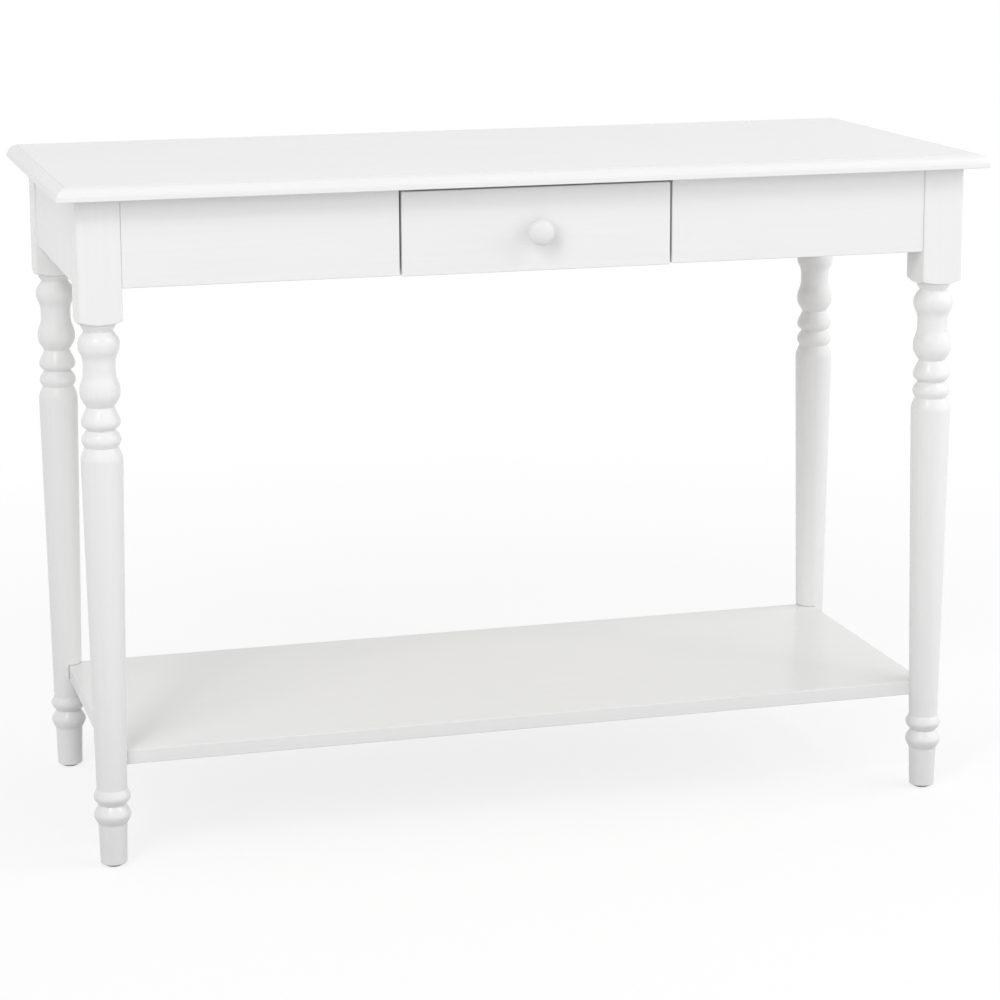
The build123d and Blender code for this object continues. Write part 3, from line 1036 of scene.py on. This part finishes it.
@dataclass
class ApronFrame:
    """Boards between the legs, and the partitions and strips that carry the drawer."""

    ease: float = 0.0011
    inner_ease: float = 0.0005

    def build(self) -> None:
        for node in ("back_apron", "front_apron_left", "front_apron_right"):
            ease_board(node, "eased", self.ease, Body.TABLE, Lacquer(Grain.ALONG_X))
        wood = Timber(Grain.ALONG_Y)
        for side in Side:
            node = f"side_apron_{side.value}"
            ease_board(node, "eased", self.ease, Body.TABLE, Lacquer(Grain.ALONG_Y))
            for kind in ("partition", "runner", "kicker"):
                ease_board(f"drawer_{kind}_{side.value}", "sanded", self.inner_ease, Body.TABLE, wood)
        dress_node("apron_dowels", Timber(Grain.ALONG_X))
        dress_node("partition_dowels", wood)


@dataclass
class LowerShelf:
    """Shelf with eased edges, let into the legs."""

    ease: float = 0.0009

    def build(self) -> None:
        ease_board("shelf", "eased", self.ease, Body.TABLE, Lacquer(Grain.ALONG_X))
        dress_node("shelf_cams", CAST_ZINC)
        dress_node("shelf_cam_bolts", ZINC_STEEL)


@dataclass(frozen=True)
class Seat:
    """One fixing's seat: where it starts, the way it points, how long and how wide it is."""

    start: Vector
    way: Vector
    length: float
    radius: float


def solids_of(node: str) -> list[np.ndarray]:
    """Vertices of each separate solid of a frame node.

    Args:
        node: Name of the node.

    Returns:
        One array of points to a solid, in a fixed order.
    """
    bm = welded_shape(node)
    left = set(bm.verts)
    groups = []
    while left:
        found = [left.pop()]
        for vert in found:
            for edge in vert.link_edges:
                other = edge.other_vert(vert)
                if other in left:
                    left.remove(other)
                    found.append(other)
        groups.append(np.array(sorted(vert.co[:] for vert in found)))
    bm.free()
    return sorted(groups, key=lambda group: tuple(group.mean(axis=0).round(PLACE_DIGITS)))


def seats_of(node: str, flat: bool = False) -> list[Seat]:
    """Seats of the fixings in a frame node, wide end first.

    Args:
        node: Node with one solid to a fixing.
        flat: True for discs, whose axis is their shortest way.

    Returns:
        One seat to a solid.
    """
    seats = []
    for points in solids_of(node):
        middle = (points.max(axis=0) + points.min(axis=0)) / 2
        _, _, axes = np.linalg.svd(points - points.mean(axis=0))
        way = axes[2] if flat else axes[0]
        along = (points - middle) @ way
        off = np.linalg.norm(points - middle - np.outer(along, way), axis=1)
        wide = along[off > off.max() - RIM_BAND]
        if wide.mean() > 0:
            way, along = -way, -along
        start = middle + way * along.min()
        seats.append(Seat(Vector(start), Vector(way), float(np.ptp(along)), float(off.max())))
    return seats


class FixingTree:
    """Geometry nodes that turn an outline on a lathe and set one copy on each seat."""

    bar_length: ClassVar[float] = 4.0

    def __init__(self, name: str, recessed: bool) -> None:
        """Builds the tree.

        Args:
            name: Name of the node group.
            recessed: True for a cross recess in the wide end.
        """
        self.group = bpy.data.node_groups.new(name, "GeometryNodeTree")
        self.group.is_modifier = True
        self.sketch = TreeSketch(self.group)
        interface = self.group.interface
        for label, kind in (
            ("Seats", "NodeSocketGeometry"),
            ("Outline", "NodeSocketObject"),
            ("Segments", "NodeSocketInt"),
            ("Recess Width", "NodeSocketFloat"),
            ("Recess Depth", "NodeSocketFloat"),
            ("Finish", "NodeSocketMaterial"),
        ):
            interface.new_socket(label, in_out="INPUT", socket_type=kind)
        interface.new_socket("Geometry", in_out="OUTPUT", socket_type="NodeSocketGeometry")
        self.entry = self.sketch.node("NodeGroupInput").outputs
        turned = self.lathe()
        self.finish(self.recess(turned) if recessed else turned)

    def identifier(self, name: str) -> str:
        """Identifier of a named input."""
        return self.group.interface.items_tree[name].identifier

    def weld(self, mesh: Socket) -> Socket:
        """Mesh whose points in one place are joined."""
        inputs = {"Geometry": mesh, "Distance": WELD}
        return self.sketch.node("GeometryNodeMergeByDistance", inputs).outputs[0]

    def lathe(self) -> Socket:
        """Grid whose rows are the outline's points and whose columns go once round.

        Returns:
            The turned mesh.
        """
        add = self.sketch.node
        math_of = self.sketch.math
        outline = add("GeometryNodeObjectInfo", {"Object": self.entry["Outline"]}).outputs["Geometry"]
        rows = add("GeometryNodeAttributeDomainSize", {"Geometry": outline}).outputs["Point Count"]
        columns = math_of("ADD", self.entry["Segments"], 1.0)
        grid = add("GeometryNodeMeshGrid", {"Vertices X": columns, "Vertices Y": rows}).outputs["Mesh"]
        index = add("GeometryNodeInputIndex").outputs[0]
        row = math_of("MODULO", index, rows)
        column = math_of("FLOOR", math_of("DIVIDE", index, rows))
        here = add("GeometryNodeInputPosition").outputs[0]
        inputs = {"Geometry": outline, "Value": here, "Index": row}
        sample = add("GeometryNodeSampleIndex", inputs, data_type="FLOAT_VECTOR", domain="POINT")
        parts = add("ShaderNodeSeparateXYZ", {0: sample.outputs[0]}).outputs
        angle = math_of("MULTIPLY", math_of("DIVIDE", column, self.entry["Segments"]), math.tau)
        x = math_of("MULTIPLY", parts["X"], math_of("COSINE", angle))
        y = math_of("MULTIPLY", parts["X"], math_of("SINE", angle))
        place = add("ShaderNodeCombineXYZ", {"X": x, "Y": y, "Z": parts["Z"]}).outputs[0]
        return self.weld(add("GeometryNodeSetPosition", {"Geometry": grid, "Position": place}).outputs[0])

    def recess(self, turned: Socket) -> Socket:
        """Cuts a cross recess into the wide end, by two bars that stand half outside it.

        Args:
            turned: The turned mesh.

        Returns:
            The mesh with its recess.
        """
        add = self.sketch.node
        inputs = {"Mesh 1": turned}
        cross = add("GeometryNodeMeshBoolean", inputs, operation="DIFFERENCE", solver="MANIFOLD")
        width = self.entry["Recess Width"]
        length = self.sketch.math("MULTIPLY", width, self.bar_length)
        height = self.sketch.math("MULTIPLY", self.entry["Recess Depth"], 2.0)
        for x, y in ((width, length), (length, width)):
            size = add("ShaderNodeCombineXYZ", {"X": x, "Y": y, "Z": height}).outputs[0]
            bar = add("GeometryNodeMeshCube", {"Size": size}).outputs["Mesh"]
            self.group.links.new(bar, cross.inputs["Mesh 2"])
        return self.weld(cross.outputs["Mesh"])

    def finish(self, turned: Socket) -> None:
        """Sets a copy on each seat, then realises and dresses them.

        Args:
            turned: The mesh to copy.
        """
        add = self.sketch.node
        way = add("GeometryNodeInputNamedAttribute", {"Name": "way"}, data_type="FLOAT_VECTOR")
        turn = add("FunctionNodeAlignRotationToVector", {"Vector": way.outputs[0]}, axis="Z").outputs[0]
        inputs = {"Points": self.entry["Seats"], "Instance": turned, "Rotation": turn}
        copies = add("GeometryNodeInstanceOnPoints", inputs).outputs[0]
        real = add("GeometryNodeRealizeInstances", {"Geometry": copies}).outputs[0]
        inputs = {"Geometry": real, "Material": self.entry["Finish"]}
        dressed = add("GeometryNodeSetMaterial", inputs).outputs[0]
        add("NodeGroupOutput", {"Geometry": dressed})

    def turn(
        self,
        name: str,
        outline: list[Point],
        seats: list[Seat],
        finish: Finish,
        segments: int,
        recess: Point = (0.0, 0.0),
    ) -> bpy.types.Object:
        """Makes one plain mesh with a copy on each seat.

        Args:
            name: Name of the piece.
            outline: Radii and heights, from the seat's start along its way.
            seats: Where the copies go.
            finish: Their surface.
            segments: Steps once round.
            recess: Width and depth of a cross recess.

        Returns:
            The piece.
        """
        helper = add_object(f"{name}_outline", bpy.data.meshes.new(f"{name}_outline"))
        helper.data.from_pydata([(r, 0.0, z) for r, z in outline], [], [])
        mesh = bpy.data.meshes.new(name)
        mesh.from_pydata([seat.start for seat in seats], [], [])
        ways = mesh.attributes.new("way", "FLOAT_VECTOR", "POINT")
        ways.data.foreach_set("vector", [part for seat in seats for part in seat.way])
        piece = add_object(name, mesh)
        modifier = piece.modifiers.new("fixings", "NODES")
        modifier.node_group = self.group
        values = {
            "Outline": helper,
            "Segments": segments,
            "Recess Width": recess[0],
            "Recess Depth": recess[1],
            "Finish": material_of(finish),
        }
        for label, value in values.items():
            modifier[self.identifier(label)] = value
        apply_modifiers(piece)
        remove_object(helper)
        mark_sharp(piece, FIXING_SHARP_DEGREES)
        return piece


@dataclass
class Drawer:
    """Drawer box with its front and its turned knob."""

    ease: float = 0.0011
    inner_ease: float = 0.0007
    panel_ease: float = 0.0003
    base_dia: float = 0.017
    neck_dia: float = 0.014
    neck_reach: float = 0.0055
    rim_reach: float = 0.0145
    knob_steps: int = 12
    knob_segments: int = 64

    def knob_outline(self, radius: float, length: float) -> list[Point]:
        """Knob's outline, from its base to its crown.

        Args:
            radius: Radius of the rim.
            length: How far the crown stands out.

        Returns:
            Radii and heights.
        """
        turned = Outline((0.0, 0.0), self.knob_steps)
        turned.line((self.base_dia / 2, 0.0))
        turned.wave((self.neck_dia / 2, self.neck_reach))
        turned.crest((radius, self.rim_reach))
        turned.fall((0.0, length))
        return turned.points

    def build(self) -> None:
        ease_board("drawer_front", "eased", self.ease, Body.DRAWER, Lacquer(Grain.ALONG_X))
        for side in Side:
            node = f"drawer_side_{side.value}"
            ease_board(node, "sanded", self.inner_ease, Body.DRAWER, Timber(Grain.ALONG_Y))
        ease_board("drawer_back", "sanded", self.inner_ease, Body.DRAWER, Timber(Grain.ALONG_X))
        ease_board("drawer_bottom", "plywood", self.panel_ease, Body.DRAWER, Plywood())
        dress_node("drawer_dowels", Timber(Grain.ALONG_Y))
        self.build_knob()

    def build_knob(self) -> None:
        low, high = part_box("knob")
        middle = (low + high) / 2
        length = high.y - low.y
        radius = (high.x - low.x) / 2
        seat = Seat(Vector((middle.x, high.y, middle.z)), Vector((0.0, -1.0, 0.0)), length, radius)
        outline = self.knob_outline(radius, length)
        tree = FixingTree("turned_knob", False)
        piece = tree.turn("turned_knob", outline, [seat], KNOB_LACQUER, self.knob_segments)
        declare(piece, Body.DRAWER, KNOB_LACQUER, "knob")


@dataclass
class Hardware:
    """Braces, brackets, screws, bolts and glides."""

    thread_pitch: float = 0.0015
    thread_depth: float = 0.18
    recess_width: float = 0.0011
    recess_depth: float = 0.0013
    chamfer: float = 0.0006
    crown_shares: tuple[Point, ...] = ((0.0, 0.0), (0.6, 0.0), (0.9, 0.25), (1.0, 0.6), (1.0, 1.0))
    screw_head: float = 0.0024
    screw_shank: float = 0.00175
    knob_screw_head: float = 0.0028
    knob_screw_shank: float = 0.002
    screw_tip: float = 2.5
    screw_segments: int = 16
    bolt_segments: int = 20
    washer_bore: float = 1.04
    washer_segments: int = 40
    nut_bore: float = 1.2
    nut_segments: int = 6
    glide_pad: float = 0.0025
    glide_round: float = 0.001
    glide_steps: int = 4
    glide_nail: float = 0.0012
    glide_segments: int = 40

    def thread(self, radius: float, start: float, end: float) -> list[Point]:
        """Zigzag outline of a thread.

        Args:
            radius: Radius of its crests.
            start: Height at which it starts.
            end: Height at which it ends.

        Returns:
            Radii and heights.
        """
        turns = max(2, int((end - start) / self.thread_pitch))
        pitch = (end - start) / turns
        root = radius * (1.0 - self.thread_depth)
        points = []
        for turn in range(turns):
            points += [(root, start + pitch * turn), (radius, start + pitch * (turn + 0.5))]
        return points + [(root, end)]

    def screw(self, seat: Seat, head: float, shank: float) -> list[Point]:
        """Outline of a pan-head wood screw with a point.

        Args:
            seat: Seat of the screw.
            head: Height of its head.
            shank: Radius of its thread.

        Returns:
            Radii and heights.
        """
        tip = seat.length - self.screw_tip * shank
        crown = [(seat.radius * wide, head * high) for wide, high in self.crown_shares]
        return crown + self.thread(shank, head, tip) + [(0.0, seat.length)]

    def bolt(self, seat: Seat) -> list[Point]:
        """Outline of a threaded rod with chamfered ends."""
        return [(0.0, 0.0)] + self.thread(seat.radius, 0.0, seat.length) + [(0.0, seat.length)]

    def ring(self, seat: Seat, bore: float) -> list[Point]:
        """Outline of a washer or nut with chamfered edges, closed on itself.

        Args:
            seat: Seat of the ring.
            bore: Radius of its hole.

        Returns:
            Radii and heights.
        """
        wide, thick = seat.radius, seat.length
        cut = min(self.chamfer, thick / 4)
        outer = [(wide - cut, 0.0), (wide, cut), (wide, thick - cut), (wide - cut, thick)]
        return [(bore, 0.0)] + outer + [(bore, thick), (bore, 0.0)]

    def glide(self, seat: Seat) -> list[Point]:
        """Outline of a glide, a rounded pad and its nail.

        Args:
            seat: Seat of the glide.

        Returns:
            Radii and heights.
        """
        wide, edge = self.glide_nail, self.glide_round
        rim = round_corner((seat.radius - edge, edge), edge, Quarter.LOWER_RIGHT, self.glide_steps)
        nail = [(wide, self.glide_pad), (wide, seat.length), (0.0, seat.length)]
        return [(0.0, 0.0)] + rim + [(seat.radius, self.glide_pad)] + nail

    def build_screws(self) -> None:
        tree = FixingTree("recessed_screws", True)
        recess = (self.recess_width, self.recess_depth)
        common = (self.screw_head, self.screw_shank)
        for node, body, sizes in (
            ("brace_screws", Body.TABLE, common),
            ("top_bracket_screws", Body.TABLE, common),
            ("runner_screws", Body.TABLE, common),
            ("drawer_screws", Body.DRAWER, common),
            ("knob_screw", Body.DRAWER, (self.knob_screw_head, self.knob_screw_shank)),
        ):
            seats = seats_of(node)
            outline = self.screw(seats[0], *sizes)
            piece = tree.turn(f"recessed_{node}", outline, seats, ZINC_STEEL, self.screw_segments, recess)
            declare(piece, body, ZINC_STEEL, node)

    def build_bolts(self, tree: FixingTree) -> None:
        """Args:
            tree: Geometry nodes that turn them.
        """
        bolts = seats_of("hanger_bolts")
        outline = self.bolt(bolts[0])
        piece = tree.turn("threaded_hanger_bolts", outline, bolts, ZINC_STEEL, self.bolt_segments)
        declare(piece, Body.TABLE, ZINC_STEEL, "hanger_bolts")
        for node, bore, segments in (
            ("brace_washers", self.washer_bore, self.washer_segments),
            ("brace_nuts", self.nut_bore, self.nut_segments),
        ):
            seats = seats_of(node, flat=True)
            outline = self.ring(seats[0], bolts[0].radius * bore)
            piece = tree.turn(f"chamfered_{node}", outline, seats, ZINC_STEEL, segments)
            declare(piece, Body.TABLE, ZINC_STEEL, node)

    def build_glides(self, tree: FixingTree) -> None:
        """Args:
            tree: Geometry nodes that turn them.
        """
        seats = seats_of("foot_glides")
        outline = self.glide(seats[0])
        piece = tree.turn("rounded_foot_glides", outline, seats, NYLON, self.glide_segments)
        declare(piece, Body.TABLE, NYLON, "foot_glides")

    def build(self) -> None:
        self.build_screws()
        tree = FixingTree("turned_fixings", False)
        self.build_bolts(tree)
        self.build_glides(tree)
        for corner in Corner:
            dress_node(f"corner_brace_{corner.value}", ZINC_STEEL)
        dress_node("top_brackets", ZINC_STEEL)


@dataclass(frozen=True)
class Lamp:
    """Soft rectangular lamp, which a glossy surface may or may not mirror."""

    name: str
    place: Place
    size: Point
    watts: float
    mirrored: bool
    aim: Place = (0.0, 0.0, 0.5)

    def build(self) -> None:
        """Hangs the lamp."""
        data = bpy.data.lights.new(self.name, "AREA")
        data.shape = "RECTANGLE"
        data.size, data.size_y = self.size
        data.energy = self.watts
        lamp = bpy.data.objects.new(self.name, data)
        lamp.location = self.place
        way = Vector(self.aim) - Vector(self.place)
        lamp.rotation_euler = way.to_track_quat("-Z", "Y").to_euler()
        lamp.visible_camera = False
        lamp.visible_glossy = self.mirrored
        bpy.context.scene.collection.objects.link(lamp)


@dataclass
class Studio:
    """Camera, lamps, white surroundings and floor."""

    camera_place: Place = (-0.89476, -3.23472, 1.11840)
    camera_yaw: float = 15.687
    camera_pitch: float = 10.945
    camera_roll: float = 0.22
    camera_lens: float = 105.26
    camera_shift: float = -0.11
    sensor_width: float = 36.0
    sight: float = 100.0
    ambient: float = 0.57
    floor_half: float = 30.0
    floor_bounce: Point = (0.46, 0.78)
    bounce_line: float = -0.27
    bounce_span: Point = (0.06, 0.5)
    floor_lit_share: float = 0.22
    fade_span: Point = (0.9, 1.9)
    key_size: Point = (0.5, 0.5)
    key_aim: Place = (0.0, 0.0, 0.6)
    near_aim: Place = (0.2, 0.0, 0.65)

    def lamps(self) -> tuple[Lamp, ...]:
        """Panels for soft light and two keys that the lacquer mirrors.

        Returns:
            The lamps.
        """
        return (
            Lamp("front_left_panel", (-4.0, -4.5, 2.2), (3.0, 2.4), 68.0, False),
            Lamp("high_left_panel", (-3.0, -3.4, 3.6), (2.2, 1.8), 31.0, False),
            Lamp("right_panel", (5.0, -1.0, 2.2), (3.5, 3.0), 102.0, False),
            Lamp("front_right_panel", (1.4, -1.9, 1.1), (0.9, 0.7), 3.2, False, self.near_aim),
            Lamp("left_key", (-1.45, -2.0, 2.6), self.key_size, 9.5, True, self.key_aim),
            Lamp("right_key", (1.9, -1.5, 2.6), self.key_size, 8.0, True, self.key_aim),
        )

    def seen_directly(self, sketch: TreeSketch) -> Socket:
        """One for rays of the camera, of gloss and of glass, and nought for diffuse light.

        Args:
            sketch: Node tree that it is added to.

        Returns:
            The factor.
        """
        path = sketch.node("ShaderNodeLightPath").outputs
        total = sketch.math("ADD", path["Is Camera Ray"], path["Is Glossy Ray"])
        total = sketch.math("ADD", total, path["Is Transmission Ray"])
        return sketch.math("MINIMUM", total, 1.0)

    def build_world(self) -> None:
        """White surroundings with a plain level of soft light."""
        world = bpy.data.worlds.new("soft_white")
        world.use_nodes = True
        sketch = TreeSketch(world.node_tree)
        soft = sketch.node("ShaderNodeBackground", {"Color": grey(1.0), "Strength": self.ambient})
        white = sketch.node("ShaderNodeBackground", {"Color": grey(1.0), "Strength": 1.0})
        mixed = {0: self.seen_directly(sketch), 1: soft.outputs[0], 2: white.outputs[0]}
        surface = sketch.node("ShaderNodeMixShader", mixed).outputs[0]
        sketch.node("ShaderNodeOutputWorld", {"Surface": surface})
        bpy.context.scene.world = world

    def floor_material(self) -> bpy.types.Material:
        """White floor that keeps the table's shadow and fades to the white surroundings.

        Returns:
            The material.
        """
        sketch = SurfaceSketch("white_floor")
        inputs = {0: sketch.place}
        away = sketch.node("ShaderNodeVectorMath", inputs, operation="LENGTH").outputs["Value"]
        near = sketch.spread(away, self.floor_lit_share, 0.0, *self.fade_span)
        white = sketch.node("ShaderNodeEmission", {"Color": grey(1.0), "Strength": 1.0}).outputs[0]
        lit = sketch.node("ShaderNodeBsdfDiffuse", {"Color": grey(1.0)}).outputs[0]
        seen = sketch.node("ShaderNodeMixShader", {0: near, 1: white, 2: lit}).outputs[0]
        depth = sketch.node("ShaderNodeSeparateXYZ", inputs).outputs["Y"]
        off_line = sketch.math("ABSOLUTE", sketch.math("SUBTRACT", depth, self.bounce_line))
        shade = sketch.spread(off_line, *self.floor_bounce, *self.bounce_span)
        bounce = sketch.node("ShaderNodeBsdfDiffuse", {"Color": shade}).outputs[0]
        mixed = {0: self.seen_directly(sketch), 1: bounce, 2: seen}
        surface = sketch.node("ShaderNodeMixShader", mixed).outputs[0]
        sketch.node("ShaderNodeOutputMaterial", {"Surface": surface})
        return sketch.material

    def build_floor(self) -> None:
        """Level floor under the glides."""
        half = self.floor_half
        corners = [(-half, -half, 0.0), (half, -half, 0.0), (half, half, 0.0), (-half, half, 0.0)]
        mesh = bpy.data.meshes.new("floor")
        mesh.from_pydata(corners, [], [(0, 1, 2, 3)])
        mesh.materials.append(self.floor_material())
        add_object("floor", mesh)

    def build_camera(self) -> None:
        """Camera where the photograph was taken from."""
        data = bpy.data.cameras.new("camera")
        data.sensor_width = self.sensor_width
        data.lens = self.camera_lens
        data.shift_y = self.camera_shift
        data.clip_end = self.sight
        camera = bpy.data.objects.new("camera", data)
        turn = Matrix.Rotation(math.radians(-self.camera_yaw), 4, "Z")
        turn @= Matrix.Rotation(math.radians(QUARTER_TURN - self.camera_pitch), 4, "X")
        turn @= Matrix.Rotation(math.radians(-self.camera_roll), 4, "Z")
        camera.matrix_world = Matrix.Translation(self.camera_place) @ turn
        bpy.context.scene.collection.objects.link(camera)
        bpy.context.scene.camera = camera

    def build(self) -> None:
        """Sets up the studio."""
        bpy.context.scene.view_settings.view_transform = "Standard"
        self.build_world()
        self.build_floor()
        self.build_camera()
        for lamp in self.lamps():
            lamp.build()


def main() -> None:
    """Builds the table and the studio."""
    logging.basicConfig(level=logging.INFO, format="%(name)s: %(message)s")
    MouldedTop().build()
    for corner in Corner:
        TurnedLeg(corner).build()
    ApronFrame().build()
    LowerShelf().build()
    Drawer().build()
    Hardware().build()
    Studio().build()


if __name__ == "__main__":
    main()
